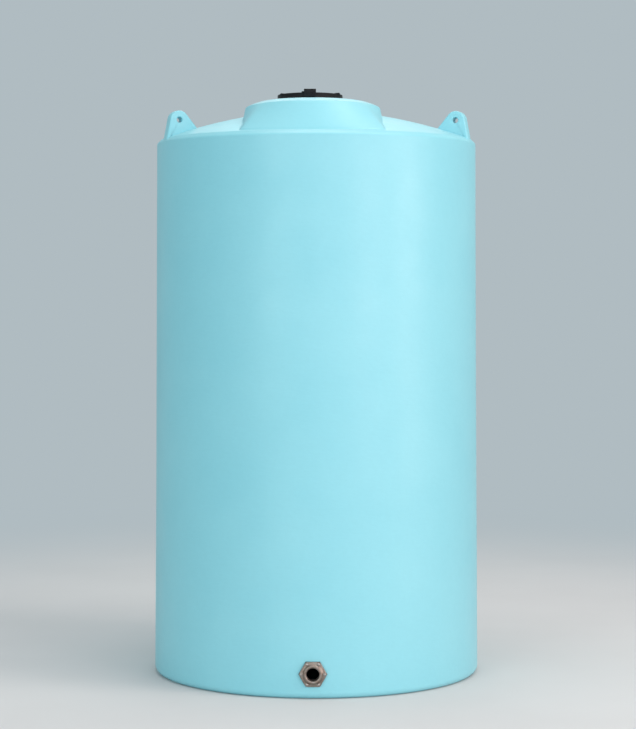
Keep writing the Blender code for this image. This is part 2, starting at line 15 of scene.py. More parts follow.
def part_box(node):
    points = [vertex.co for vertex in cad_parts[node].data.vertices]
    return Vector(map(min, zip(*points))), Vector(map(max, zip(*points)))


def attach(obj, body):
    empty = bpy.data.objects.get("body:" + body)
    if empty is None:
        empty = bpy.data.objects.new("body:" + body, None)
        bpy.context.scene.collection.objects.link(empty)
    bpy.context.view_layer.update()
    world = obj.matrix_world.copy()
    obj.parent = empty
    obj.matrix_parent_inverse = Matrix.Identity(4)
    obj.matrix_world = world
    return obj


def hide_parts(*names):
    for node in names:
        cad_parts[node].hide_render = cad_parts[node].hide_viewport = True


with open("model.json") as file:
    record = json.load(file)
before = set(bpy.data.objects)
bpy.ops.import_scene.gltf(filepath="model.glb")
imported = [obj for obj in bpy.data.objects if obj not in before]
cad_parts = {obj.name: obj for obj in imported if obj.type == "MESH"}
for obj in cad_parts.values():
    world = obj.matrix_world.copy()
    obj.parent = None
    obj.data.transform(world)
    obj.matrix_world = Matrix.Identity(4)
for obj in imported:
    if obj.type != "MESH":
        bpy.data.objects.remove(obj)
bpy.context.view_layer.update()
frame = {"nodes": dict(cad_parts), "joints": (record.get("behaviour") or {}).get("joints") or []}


def reach(node):
    """Largest distance of a solid from the tank's axis."""
    return max(math.hypot(v.co.x, v.co.y) for v in frame["nodes"][node].data.vertices)


def centre(node):
    low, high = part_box(node)
    return (low + high) / 2


# Body, read from the solids where they give it
TANK_RADIUS = reach("tank_floor")
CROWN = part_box("tank_roof")[1].z
SKIN = 0.012
WALL_HEAD_RADIUS = 1.1347
WALL_FOOT_RADIUS = 1.1477
WALL_SPREAD_POWER = 1.5
DOME_CONE = 0.029
DOME_BOW = 0.1511
SHOULDER_START = 1.108
SHOULDER_SLOPE = math.radians(45)
SHOULDER_RADIUS = 0.024
SHOULDER_CREASE = 0.035
CHIME_RADIUS = 0.044
BODY_STEPS = 192
BODY_ROUNDING_STEPS = 8
DOME_RINGS = 26
WALL_RINGS = 44
WAVE = 0.0007
WAVE_START = (0.35, 0.5)
WAVE_END = (3.60, 0.4)

# Raised platform: its foot has straight sides, a round back and a front that follows the shoulder, and
# it narrows to a round top
PLATFORM_X = -0.0245
PLATFORM_Y = -0.545
PLATFORM_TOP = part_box("manway_platform")[1].z
PLATFORM_FOOT = 3.763
PLATFORM_HALF_WIDTH = 0.502
PLATFORM_FRONT = 1.103
PLATFORM_TURN_RADIUS = 0.463
PLATFORM_TURN_DROP = 0.044
PLATFORM_FRONT_LIFT = 0.018
PLATFORM_TURN_ROUNDING = 0.013
PLATFORM_RISE_WIDTH = 0.155
PLATFORM_RISE_POWER = 2.1
PLATFORM_CROWN = 0.014
PLATFORM_CROWN_REACH = 0.400
PLATFORM_CROWN_FADE = (2.1, 0.5)
PLATFORM_CORNER_POWER = 36
PLATFORM_STEPS = 360
PLATFORM_SIDE_STEPS = 90
PLATFORM_INSIDE_STEPS = 14
PLATFORM_SEAT = 0.030
PLATFORM_SINK = 0.030
ROOT_SINK = 0.006
FILLET = 0.005
FILLET_GROWTH = 1.5

# Manway: heights are above the platform's top
MANWAY = centre("manway_gasket")
THROAT = 0.196
NECK = 0.206
SPIGOT = 0.2015
RING_FLANGE = 0.236
RECESS = 0.2385
RECESS_LIP = 0.003
RECESS_EDGE = 0.0008
SEAT_DROP = 0.0002
THROAT_GAP = 0.0015
RING_TOP = 0.0105
NECK_TOP = 0.036
SPIGOT_DEPTH = 0.030
THREAD_BEADS = 3
THREAD_START = 0.007
THREAD_PITCH = 0.0075
THREAD_BEAD = 0.0045
THREAD_DEPTH = 0.0025
SCREWS = 16
SCREW_CIRCLE = 0.2225
SCREW_HEAD = ((0, 0.0034), (0.0025, 0.0032), (0.0048, 0.0022), (0.0056, 0.0006), (0.0056, -0.002),
              (0, -0.002))
LID_RADIUS = 0.224
LID_BOTTOM = 0.017
LID_UNDERSIDE = 0.0405
LID_PANEL = 0.0455
LID_TOP = 0.051
LID_LIP = 0.0045
LID_SOFT = 0.001
LID_CLIPS = ((-120, 0.049), (-60, 0.0455), (60, 0.049), (120, 0.049))
LID_RIBS = 12
LID_RIB = ((0.006, 0.086, 0.006), 0.147, 0.0018)
LID_INNER_RIB = ((0.005, 0.058, 0.005), 0.058, 0.0015)
HINGE = Vector(frame["joints"][0]["pos_m"])
HINGE_TAB = (0.103, 0.040)
EAR_RADIUS = 0.012
EAR_START = 0.0315
EAR_THICKNESS = 0.014
EAR_SINK = 0.002
KNUCKLE_RADIUS = 0.010
KNUCKLE_HALF_LENGTH = 0.030
PIN_RADIUS = 0.0038
PIN_HEAD_RADIUS = 0.0062
PIN_HEAD = 0.003
LATCH_WIDTH = 0.082
LATCH_GRIPS = 3

# Lifting lugs, in the plane of the tank's axis, as radius and height
LUG_AZIMUTHS = {"right": -18.3, "left": 201.0, "back": 90.0}
LUG_THICKNESS = 0.085
LUG_EDGE = 0.008
LUG_FOOT_EDGE = 0.014
LUG_EYE = (1.034, 3.883)
LUG_EYE_RADIUS = 0.020
EYE_MOUTH = 0.004
LUG_TOP_RADIUS = 0.0648
LUG_OUTER_FOOT = (1.141, 3.680)
LUG_INNER_FOOT = (0.860, 3.774)
LUG_ROOT = 0.012

# Outlet fitting
OUTLET = centre("outlet_outer_flange")
FLANGE_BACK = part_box("outlet_outer_flange")[1].y
HUB_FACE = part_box("outlet_outer_flange")[0].y
HEX_RADIUS = 0.095
HEX_POWER = 40
HEX_ROUND_CORNER = 0.985
FITTING_STEPS = 144
FLANGE_THICKNESS = 0.0137
FLANGE_EDGE = 0.004
FLANGE_FACE_RISE = 0.0005
OUTLET_BORE = 0.042
THREAD_ROOT = 0.0440
THREAD_CLEARANCE = 0.0004
BORE_TURNS = 7
BORE_PITCH = 0.0032
BORE_END = -0.020
BOLTS = 6

# Cone from the flange to the hub: radius, depth past the flange's face, and roundness
CONE = ((0.086, -0.0002, 0.08), (0.079, 0.0, 0.35), (0.072, 0.0006, 0.75), (0.0675, 0.0016, 1),
        (0.0650, 0.0034, 1), (0.0615, 0.0070, 1))

# Hub: radius and depth below the hub's face
HUB = ((0.0595, 0.0014), (0.0578, 0.0004), (0.0555, 0), (0.0472, 0), (0.0460, 0.0008))

# Bolts: radius, place along the bolt, and whether the ring is a hexagon. The head is measured from its
# top, the washer and shank from the flange's face, and the nut from the inner flange
BOLT_STEPS = 24
BOLT_FLAT = 0.875
BOLT_TURN = 0.7
BOLT_HEAD = ((0, 0.0002, False), (0.0040, 0.0004, False), (0.0072, 0.0014, False), (0.0092, 0.0028, True),
             (0.0098, 0.0038, True))
BOLT_SEAT = ((0.0098, -0.0012, True), (0.0118, -0.0012, False), (0.0118, 0.0004, False),
             (0.0058, 0.0004, False))
NUT = ((0, 0.0098, False), (0.0080, 0.0098, False), (0.0115, 0.0080, True), (0.0115, 0, True), (0, 0, False))
NUT_GAP = 0.0003
SHANK_RADIUS = 0.0058

# Studio
WORLD_COLOUR = (0.77, 0.89, 0.95)
WORLD_STRENGTH = 0.564
FLOOR_FADE = (3.0, 11.0)
FLOOR_RADIUS = 400.0
LIGHT_AIM = 2.0

# Soft lights: azimuth from the front to the right, elevation and distance; size, power and colour
STUDIO_LIGHTS = [
    ((-55, 8, 17.0), 6.0, 68, (0.82, 1.00, 1.00)),
    ((-25, 8, 17.0), 6.0, 523, (0.82, 1.00, 1.00)),
    ((5, 8, 17.0), 6.0, 285, (0.97, 0.91, 1.00)),
    ((35, 8, 17.0), 6.0, 645, (1.00, 0.82, 0.82)),
    ((66, 8, 17.0), 6.0, 741, (1.00, 0.86, 0.82)),
    ((60, 55, 13.0), 4.0, 369, (1.00, 0.90, 0.82)),
    ((0, 82, 12.0), 6.0, 440, (1.00, 0.84, 0.82)),
    ((180, 45, 12.0), 6.0, 181, (0.82, 0.98, 1.00)),
]

# Camera, fitted to the photo's outline of the tank
CAMERA_DISTANCE = 14.654
CAMERA_HEIGHT = 2.700
CAMERA_LENS = 101.2
CAMERA_SHIFT = (0.0023, -0.1024)


# Finishes

def feed(tree, socket, value):
    """Links a socket to another one, or sets its value."""
    if isinstance(value, bpy.types.NodeSocket):
        tree.links.new(value, socket)
    else:
        socket.default_value = value


def add_node(tree, kind, links=None, **settings):
    """A shader node with its settings, and its sockets linked or set."""
    item = tree.nodes.new(kind)
    for key, value in settings.items():
        setattr(item, key, value)
    for socket, value in (links or {}).items():
        feed(tree, item.inputs[socket], value)
    return item


def new_group(name, inputs, output):
    """An effect that several finishes use: named numbers go in and one comes out."""
    tree = bpy.data.node_groups.new(name, "ShaderNodeTree")
    for label, value in inputs.items():
        socket = tree.interface.new_socket(label, in_out="INPUT", socket_type="NodeSocketFloat")
        socket.default_value = value
    tree.interface.new_socket(output, in_out="OUTPUT", socket_type="NodeSocketFloat")
    return tree, tree.nodes.new("NodeGroupInput").outputs, tree.nodes.new("NodeGroupOutput").inputs


def placed(tree, effect, **values):
    """What an effect gives in a finish, with that finish's own values."""
    item = tree.nodes.new("ShaderNodeGroup")
    item.node_tree = effect
    for label, value in values.items():
        feed(tree, item.inputs[label], value)
    return item.outputs[0]


def noise_over(tree, sizes, seed, detail, roughness):
    """Noise with lumps of these sizes in metres along X, Y and Z of the object."""
    where = add_node(tree, "ShaderNodeTexCoord").outputs["Object"]
    size = add_node(tree, "ShaderNodeCombineXYZ", dict(zip("XYZ", sizes))).outputs["Vector"]
    scaled = add_node(tree, "ShaderNodeVectorMath", {0: where, 1: size}, operation="DIVIDE").outputs["Vector"]
    return add_node(tree, "ShaderNodeTexNoise", {
        "Vector": scaled, "W": seed, "Scale": 1.0, "Detail": detail, "Roughness": roughness},
        noise_dimensions="4D").outputs["Fac"]


def make_grain():
    """Relief of a moulded or cast skin."""
    tree, given, out = new_group(
        "skin relief", {"Width": 0.03, "Height": 0.01, "Detail": 2.0, "Seed": 0.0}, "Relief")
    sizes = (given["Width"], given["Width"], given["Height"])
    noise = noise_over(tree, sizes, given["Seed"], given["Detail"], 0.55)
    tree.links.new(noise, out["Relief"])
    return tree


def make_patches():
    """Soft patches between two limits, for uneven colour and gloss."""
    tree, given, out = new_group(
        "uneven patches", {"Size": 0.5, "Detail": 2.0, "Seed": 0.0, "Low": 0.0, "High": 1.0}, "Amount")
    noise = noise_over(tree, [given["Size"]] * 3, given["Seed"], given["Detail"], 0.6)
    amount = add_node(tree, "ShaderNodeMapRange", {
        "Value": noise, "From Min": 0.34, "From Max": 0.66, "To Min": given["Low"], "To Max": given["High"]})
    tree.links.new(amount.outputs["Result"], out["Amount"])
    return tree


def make_settled_dust():
    """Dust that lies on faces which look up, broken into soft patches."""
    tree, given, out = new_group("settled dust", {"Amount": 0.3, "Patch": 0.12, "Seed": 0.0}, "Mask")
    normal = add_node(tree, "ShaderNodeTexCoord").outputs["Normal"]
    upward = add_node(tree, "ShaderNodeSeparateXYZ", {"Vector": normal}).outputs["Z"]
    facing = add_node(tree, "ShaderNodeMapRange", {"Value": upward, "From Min": 0.55, "From Max": 0.98})
    noise = noise_over(tree, [given["Patch"]] * 3, given["Seed"], 5.0, 0.6)
    broken = add_node(tree, "ShaderNodeMapRange", {"Value": noise, "From Min": 0.3, "From Max": 0.75})
    settled = add_node(tree, "ShaderNodeMath", {
        0: facing.outputs["Result"], 1: broken.outputs["Result"]}, operation="MULTIPLY").outputs["Value"]
    mask = add_node(tree, "ShaderNodeMath", {0: settled, 1: given["Amount"]}, operation="MULTIPLY")
    tree.links.new(mask.outputs["Value"], out["Mask"])
    return tree


SKIN_RELIEF = make_grain()
PATCHES = make_patches()
DUST = make_settled_dust()


def new_finish(name, **values):
    """A material, its tree and its Principled shader, with the plain values set on the shader."""
    material = bpy.data.materials.new(name)
    material.use_nodes = True
    tree = material.node_tree
    shader = tree.nodes["Principled BSDF"]
    for socket, value in values.items():
        shader.inputs[socket.replace("_", " ")].default_value = value
    return material, tree, shader.inputs


def blended(tree, amount, first, second, mode="MIX"):
    """One colour turning into another where the amount is high, or times another."""
    mix = add_node(tree, "ShaderNodeMix", {"Factor": amount}, data_type="RGBA", blend_type=mode)
    for socket, colour in ((mix.inputs[6], first), (mix.inputs[7], second)):
        feed(tree, socket, colour if isinstance(colour, bpy.types.NodeSocket) else (*colour, 1.0))
    return mix.outputs[2]


def patchy(tree, size, seed, low=0.0, high=1.0, detail=3.0):
    """Uneven patches of that size, between two limits."""
    return placed(tree, PATCHES, Size=size, Detail=detail, Seed=seed, Low=low, High=high)


def dusted(tree, under, dust, amount, patch, seed):
    """A colour with dust on the faces that look up."""
    mask = placed(tree, DUST, Amount=amount, Patch=patch, Seed=seed)
    return blended(tree, mask, under, dust)


def bumped(tree, width, height, detail, seed, depth, under=None):
    """A normal from skin relief of that grain and depth in metres, on top of another normal."""
    relief = placed(tree, SKIN_RELIEF, Width=width, Height=height, Detail=detail, Seed=seed)
    links = {"Height": relief, "Distance": depth, "Strength": 1.0}
    if under is not None:
        links["Normal"] = under
    return add_node(tree, "ShaderNodeBump", links).outputs["Normal"]


def dress(tree, shader, colour, gloss, normal=None):
    """Links a finish's colour, roughness and normal to its shader."""
    tree.links.new(colour, shader["Base Color"])
    tree.links.new(gloss, shader["Roughness"])
    if normal is not None:
        tree.links.new(normal, shader["Normal"])


def make_polyethylene():
    """Tinted moulded polyethylene: a satin skin with fine grain drawn out sideways."""
    material, tree, shader = new_finish("moulded polyethylene", IOR=1.5)
    tint = blended(tree, patchy(tree, 0.55, 1.0), (0.254, 0.628, 0.709), (0.274, 0.648, 0.725))
    fine = blended(tree, patchy(tree, 0.035, 2.0), (0.985, 0.985, 0.985), (1.0, 1.0, 1.0))
    tone = blended(tree, 1.0, tint, fine, "MULTIPLY")
    colour = dusted(tree, tone, (0.56, 0.60, 0.58), 0.16, 0.10, 3.0)
    ripple = bumped(tree, 0.060, 0.024, 1.0, 5.0, 0.0007)
    grain = bumped(tree, 0.014, 0.006, 3.0, 6.0, 0.00022, ripple)
    dress(tree, shader, colour, patchy(tree, 0.22, 4.0, 0.37, 0.45), grain)
    return material


def make_black_plastic():
    """Moulded black plastic, a little dusty on top."""
    material, tree, shader = new_finish("black moulded plastic", IOR=1.5, Specular_IOR_Level=0.15)
    black = blended(tree, patchy(tree, 0.05, 8.0), (0.006, 0.006, 0.0065), (0.012, 0.012, 0.0125))
    colour = dusted(tree, black, (0.19, 0.17, 0.15), 0.06, 0.03, 7.0)
    grain = bumped(tree, 0.0025, 0.0025, 2.0, 10.0, 0.00015)
    dress(tree, shader, colour, patchy(tree, 0.04, 9.0, 0.40, 0.55, detail=4.0), grain)
    return material


def make_rubber():
    """Black gasket rubber with a matt skin."""
    material, tree, shader = new_finish("gasket rubber", IOR=1.5)
    bloom = patchy(tree, 0.02, 11.0, detail=4.0)
    colour = blended(tree, bloom, (0.016, 0.016, 0.016), (0.030, 0.029, 0.028))
    grain = bumped(tree, 0.0015, 0.0015, 2.0, 13.0, 0.0001)
    dress(tree, shader, colour, patchy(tree, 0.012, 12.0, 0.62, 0.80), grain)
    return material


def make_cast_stainless():
    """Weathered cast stainless: brown and greenish stains over dull metal."""
    material, tree, shader = new_finish("cast stainless", Metallic=1.0)
    brown = patchy(tree, 0.028, 14.0, detail=4.0)
    stained = blended(tree, brown, (0.35, 0.30, 0.275), (0.25, 0.165, 0.135))
    colour = blended(tree, patchy(tree, 0.017, 15.0, 0.0, 0.35), stained, (0.20, 0.22, 0.16))
    sand = bumped(tree, 0.0022, 0.0022, 3.0, 17.0, 0.0004)
    dress(tree, shader, colour, patchy(tree, 0.012, 16.0, 0.30, 0.50), sand)
    return material


def make_bore_shade_stainless():
    """Cast stainless painted near black: painted shade for the inside of the outlet's bore."""
    material, tree, shader = new_finish("stainless with painted bore shade", Metallic=0.6)
    # Near-black colour: painted shade for the inside of the bore
    colour = blended(tree, patchy(tree, 0.009, 22.0), (0.020, 0.017, 0.015), (0.055, 0.044, 0.036))
    dress(tree, shader, colour, patchy(tree, 0.006, 23.0, 0.40, 0.60))
    return material


def make_bright_stainless():
    """Machined stainless of the bolts, screws and hinge pin."""
    material, tree, shader = new_finish("machined stainless", Metallic=1.0)
    colour = blended(tree, patchy(tree, 0.006, 18.0), (0.42, 0.38, 0.35), (0.30, 0.26, 0.235))
    marks = bumped(tree, 0.0012, 0.0012, 3.0, 20.0, 0.0001)
    dress(tree, shader, colour, patchy(tree, 0.004, 19.0, 0.20, 0.36), marks)
    return material


POLYETHYLENE = make_polyethylene()
BLACK_PLASTIC = make_black_plastic()
RUBBER = make_rubber()
CAST = make_cast_stainless()
BORE_SHADE_STAINLESS = make_bore_shade_stainless()
BRIGHT = make_bright_stainless()


# Making of meshes

# Faces that meet at more than these angles, in degrees, keep a sharp edge
SHARP = 35
SOFT_SHARP = 50


def lofted(rings, wrap=False, caps=False):
    """Quads between rings of equal numbers of points; a ring of one point closes the end."""
    mesh = bmesh.new()
    loops = [[mesh.verts.new(point) for point in ring] for ring in rings]
    pairs = list(zip(loops, loops[1:]))
    if wrap:
        pairs.append((loops[-1], loops[0]))
    for low, high in pairs:
        count = max(len(low), len(high))
        for i in range(count):
            j = (i + 1) % count
            if len(low) == 1:
                mesh.faces.new((low[0], high[j], high[i]))
            elif len(high) == 1:
                mesh.faces.new((low[i], low[j], high[0]))
            else:
                mesh.faces.new((low[i], low[j], high[j], high[i]))
    if caps:
        mesh.faces.new(loops[0])
        mesh.faces.new(loops[-1])
    bmesh.ops.recalc_face_normals(mesh, faces=mesh.faces)
    return mesh


def turned(profile, steps, wrap=False):
    """A body turned about Z from points of radius and height; a radius of nothing is a pole."""
    rings = []
    for radius, height in profile:
        if radius == 0:
            rings.append([(0, 0, height)])
        else:
            angles = [2 * math.pi * i / steps for i in range(steps)]
            rings.append([(radius * math.cos(a), radius * math.sin(a), height) for a in angles])
    return lofted(rings, wrap)


def rounded_block(size, place, radius):
    """A block with all its edges rounded."""
    mesh = bmesh.new()
    bmesh.ops.create_cube(mesh, size=1.0)
    bmesh.ops.scale(mesh, verts=mesh.verts, vec=size)
    bmesh.ops.bevel(mesh, geom=mesh.edges[:], offset=radius, segments=3, affect="EDGES", profile=0.5)
    bmesh.ops.translate(mesh, verts=mesh.verts, vec=place)
    return mesh


def rounded_plate(outline, left, right, radius):
    """A plate across X from an outline of (y, z) points, with its edges rounded."""
    mesh = bmesh.new()
    face = mesh.faces.new([mesh.verts.new((left, y, z)) for y, z in outline])
    raised = bmesh.ops.extrude_face_region(mesh, geom=[face])
    far_side = [item for item in raised["geom"] if isinstance(item, bmesh.types.BMVert)]
    bmesh.ops.translate(mesh, verts=far_side, vec=(right - left, 0, 0))
    bmesh.ops.recalc_face_normals(mesh, faces=mesh.faces)
    bmesh.ops.bevel(mesh, geom=mesh.edges[:], offset=radius, segments=2, affect="EDGES", profile=0.5)
    return mesh


def moved(mesh, place, turn=None):
    """The same mesh, turned by a matrix and then moved."""
    if turn is not None:
        bmesh.ops.transform(mesh, matrix=turn.to_4x4(), verts=mesh.verts)
    bmesh.ops.translate(mesh, verts=mesh.verts, vec=place)
    return mesh


def mesh_data(name, mesh):
    """A working mesh as mesh data. The working mesh is freed."""
    data = bpy.data.meshes.new(name)
    mesh.to_mesh(data)
    mesh.free()
    return data


def add_object(name, data):
    """A new object in the scene."""
    item = bpy.data.objects.new(name, data)
    bpy.context.scene.collection.objects.link(item)
    return item


def combined(meshes):
    """Several meshes in one."""
    whole = bmesh.new()
    for mesh in meshes:
        data = mesh_data("combined part", mesh)
        whole.from_mesh(data)
        bpy.data.meshes.remove(data)
    return whole


def new_piece(name, mesh, finish, body, replaced=(), sharp=SHARP):
    """A piece of the object: its mesh, its finish, and what it rides on and stands for."""
    data = mesh_data(name, mesh)
    piece = add_object(name, data)
    data.materials.append(finish)
    smooth(data, sharp)
    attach(piece, body)
    if replaced:
        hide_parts(*replaced)
    return piece


def smooth(data, sharp):
    data.shade_smooth()
    data.set_sharp_from_angle(angle=math.radians(sharp))


def cut_away(piece, cutter_mesh):
    """Cuts a closed mesh out of a piece, and keeps the result as the piece's own mesh."""
    data = mesh_data("cutter", cutter_mesh)
    cutter = add_object("cutter", data)
    modifier = piece.modifiers.new("cut", "BOOLEAN")
    modifier.operation = "DIFFERENCE"
    modifier.solver = "EXACT"
    modifier.object = cutter
    graph = bpy.context.evaluated_depsgraph_get()
    result = bpy.data.meshes.new_from_object(piece.evaluated_get(graph))
    piece.modifiers.remove(modifier)
    old = piece.data
    piece.data = result
    bpy.data.meshes.remove(old)
    bpy.data.objects.remove(cutter)
    bpy.data.meshes.remove(data)
    smooth(result, SHARP)


# Sums that several forms share

def heading(angle):
    return Vector((math.cos(angle), math.sin(angle)))


def eased(share):
    """A share held between 0 and 1, with a soft start and end."""
    share = max(0.0, min(1.0, share))
    return share * share * (3 - 2 * share)


def crossing(near, far, steps, holds):
    """Where a condition that holds at the near end stops holding, found by halving."""
    for _ in range(steps):
        middle = (near + far) / 2
        if holds(middle):
            near = middle
        else:
            far = middle
    return far


# Form of the dome and the shoulder

def dome_height(radius):
    return CROWN - DOME_CONE * radius - DOME_BOW * radius ** 2


def dome_slope(radius):
    return math.atan(DOME_CONE + 2 * DOME_BOW * radius)


SHOULDER_HEIGHT = dome_height(SHOULDER_START)
CORNER_RADIUS = WALL_HEAD_RADIUS - SHOULDER_RADIUS
WALL_TOP = SHOULDER_HEIGHT - (
    SHOULDER_RADIUS + (CORNER_RADIUS - SHOULDER_START) * math.sin(SHOULDER_SLOPE)) / math.cos(SHOULDER_SLOPE)


def wall_radius(height):
    """The wall spreads a little from the shoulder to the base."""
    share = max(0.0, (WALL_TOP - height) / WALL_TOP) ** WALL_SPREAD_POWER
    return WALL_HEAD_RADIUS + (WALL_FOOT_RADIUS - WALL_HEAD_RADIUS) * share


def roof_height(radius):
    """Height of the outer skin of the dome, the sloping shoulder and its corner."""
    if radius <= SHOULDER_START:
        return dome_height(radius)
    across = min(radius - CORNER_RADIUS, SHOULDER_RADIUS)
    if across > SHOULDER_RADIUS * math.sin(SHOULDER_SLOPE):
        return WALL_TOP + math.sqrt(SHOULDER_RADIUS ** 2 - across ** 2)
    return SHOULDER_HEIGHT - (radius - SHOULDER_START) * math.tan(SHOULDER_SLOPE)


def rounded_profile(corners, steps=4):
    """Points of radius and height with some corners rounded: each corner may carry a rounding."""
    points = []
    count = len(corners)
    for i, corner in enumerate(corners):
        here = Vector(corner[:2])
        rounding = corner[2] if len(corner) > 2 else 0.0
        if rounding == 0.0:
            points.append(tuple(here))
            continue
        before = Vector(corners[i - 1][:2])
        after = Vector(corners[(i + 1) % count][:2])
        to_before = (before - here).normalized()
        to_after = (after - here).normalized()
        half = to_before.angle(to_after) / 2
        length = rounding / math.tan(half)
        middle = here + (to_before + to_after).normalized() * rounding / math.sin(half)
        start = here + to_before * length - middle
        end = here + to_after * length - middle
        sweep = start.angle_signed(end)
        for step in range(steps + 1):
            angle = -sweep * step / steps
            spun = Vector((start.x * math.cos(angle) - start.y * math.sin(angle),
                           start.x * math.sin(angle) + start.y * math.cos(angle)))
            points.append(tuple(middle + spun))
    return points


# Body

def body_profile(inset):
    """Half outline from the crown, over the shoulder, down the wall and round the chime."""
    corners = [(0, CROWN - inset)]
    for i in range(1, DOME_RINGS):
        radius = SHOULDER_START * i / DOME_RINGS
        slope = dome_slope(radius)
        corners.append((radius - inset * math.sin(slope), dome_height(radius) - inset * math.cos(slope)))
    half_bend = (SHOULDER_SLOPE - dome_slope(SHOULDER_START)) / 2
    lean = SHOULDER_SLOPE - half_bend
    reach_in = inset / math.cos(half_bend)
    corners.append((SHOULDER_START - reach_in * math.sin(lean), SHOULDER_HEIGHT - reach_in * math.cos(lean),
                    SHOULDER_CREASE - inset))
    head = WALL_HEAD_RADIUS - inset
    corner_drop = (inset + (head - SHOULDER_START) * math.sin(SHOULDER_SLOPE)) / math.cos(SHOULDER_SLOPE)
    corners.append((head, SHOULDER_HEIGHT - corner_drop, SHOULDER_RADIUS - inset))
    for i in range(1, WALL_RINGS):
        height = WALL_TOP + (2 * CHIME_RADIUS - WALL_TOP) * i / WALL_RINGS
        corners.append((wall_radius(height) - inset, height))
    corners.append((WALL_FOOT_RADIUS - inset, inset, CHIME_RADIUS - inset))
    for share in (0.66, 0.33, 0):
        corners.append(((WALL_FOOT_RADIUS - CHIME_RADIUS) * share, inset))
    return rounded_profile(corners, BODY_ROUNDING_STEPS)


def wall_wave(angle, height):
    """Slow unevenness of the moulded wall. It fades out at the shoulder and round the outlet."""
    rise = (height - WAVE_START[0]) / WAVE_START[1]
    fall = (WAVE_END[0] - height) / WAVE_END[1]
    fade = eased(min(rise, fall))
    wave = 0.5 * math.sin(3 * angle + 1.1 + 0.9 * height)
    wave += 0.35 * math.sin(7 * angle + 2.3 - 1.7 * height)
    wave += 0.4 * math.sin(2.6 * height + 0.7 + math.sin(2 * angle))
    wave += 0.2 * math.sin(13 * angle + 5.1 * height)
    return WAVE * fade * wave


def make_body():
    """The moulded shell: outer and inner skins, open under the platform and at the outlet."""
    outer = turned(body_profile(0), BODY_STEPS)
    inner = turned(body_profile(SKIN), BODY_STEPS)
    bmesh.ops.reverse_faces(inner, faces=inner.faces)
    mesh = combined([outer, inner])
    for vert in mesh.verts:
        radius = math.hypot(vert.co.x, vert.co.y)
        if radius > WALL_HEAD_RADIUS - 2 * SKIN:
            wave = wall_wave(math.atan2(vert.co.y, vert.co.x), vert.co.z)
            vert.co.x *= 1 + wave / radius
            vert.co.y *= 1 + wave / radius
    panels = [f"wall_panel_{i}" for i in range(1, 9)]
    body = new_piece("tank_moulding", mesh, POLYETHYLENE, "tank",
                     ["tank_floor", "tank_roof", "wall_foot_left", "wall_foot_right", "outlet_pad"] + panels)
    opening = [[platform_spot(a, *p) for a, p in zip(platform_angles(), points)]
               for points in zip(*[platform_outline(a, PLATFORM_SEAT) for a in platform_angles()])]
    opening.insert(0, [(x, y, CROWN + 1) for x, y, _ in opening[0]])
    opening.append([(x, y, PLATFORM_FOOT - 0.2) for x, y, _ in opening[-1]])
    cut_away(body, lofted(opening, caps=True))
    hole_radius = OUTLET_BORE + 0.002
    hole = turned([(0, -0.1), (hole_radius, -0.1), (hole_radius, 0.1), (0, 0.1)], 48)
    cut_away(body, moved(hole, (OUTLET.x, -TANK_RADIUS, OUTLET.z), Matrix.Rotation(math.pi / 2, 3, "X")))


# Platform

def platform_foot(angle):
    """Plan of the foot, measured from the platform's centre, with the angle from the front."""
    if math.cos(angle) <= 0:
        return PLATFORM_HALF_WIDTH
    along = PLATFORM_X * math.sin(angle) - PLATFORM_Y * math.cos(angle)
    offset = PLATFORM_X ** 2 + PLATFORM_Y ** 2
    front = math.sqrt(along ** 2 - offset + PLATFORM_FRONT ** 2) - along
    side = PLATFORM_HALF_WIDTH / max(abs(math.sin(angle)), 1e-6)
    power = PLATFORM_CORNER_POWER
    return (front ** -power + side ** -power) ** (-1 / power)


def platform_turn(angle):
    """Drop of the turn below the top. It lies higher at the front than at the sides."""
    return PLATFORM_TURN_DROP - PLATFORM_FRONT_LIFT * max(0.0, math.cos(angle))


def platform_side(angle, height):
    """Distance of the drafted side from the platform's centre."""
    rise = max(0.0, (height - PLATFORM_FOOT) / (PLATFORM_TOP - platform_turn(angle) - PLATFORM_FOOT))
    return platform_foot(angle) * (1 - rise) + PLATFORM_TURN_RADIUS * rise


def platform_crown(angle, distance):
    """Rise of the top toward the manway. It fades out at the back, where the hinge is."""
    start, width = PLATFORM_CROWN_FADE
    fade = 1 - eased((abs(math.remainder(angle, 2 * math.pi)) - start) / width)
    return PLATFORM_CROWN * fade * max(0.0, 1 - (distance / PLATFORM_CROWN_REACH) ** 2)


def platform_spot(angle, distance, height):
    return (PLATFORM_X + distance * math.sin(angle), PLATFORM_Y - distance * math.cos(angle), height)


def platform_angles():
    return [2 * math.pi * i / PLATFORM_STEPS for i in range(PLATFORM_STEPS)]


def roof_beside(angle, distance):
    """Height of the roof at a spot beside the platform, and its rise outward there."""
    def height(reach_out):
        x, y, _ = platform_spot(angle, reach_out, 0)
        return roof_height(math.hypot(x, y))
    step = 0.001
    return height(distance), (height(distance + step) - height(distance - step)) / (2 * step)


def platform_outline(angle, inset=0.0):
    """The bare side at one angle, or a skin inside it: down the gentle slope of the top, round the
    crisp turn and down the drafted side to the foot."""
    drop = platform_turn(angle)
    turn_height = PLATFORM_TOP - drop
    corners = []
    top_steps = 12
    for i in range(top_steps):
        share = i / top_steps
        distance = PLATFORM_TURN_RADIUS - PLATFORM_RISE_WIDTH * (1 - share) - inset * share
        height = PLATFORM_TOP - inset - (drop - inset) * share ** PLATFORM_RISE_POWER
        crown = platform_crown(angle, distance) if inset == 0 else 0.0
        corners.append((distance, height + crown))
    corners.append((PLATFORM_TURN_RADIUS - inset, turn_height, PLATFORM_TURN_ROUNDING))
    low = PLATFORM_FOOT - PLATFORM_SINK
    side_steps = 10
    for i in range(1, side_steps + 1):
        height = turn_height + (low - turn_height) * i / side_steps
        corners.append((platform_side(angle, height) - inset, height))
    return [Vector(point) for point in rounded_profile(corners)]


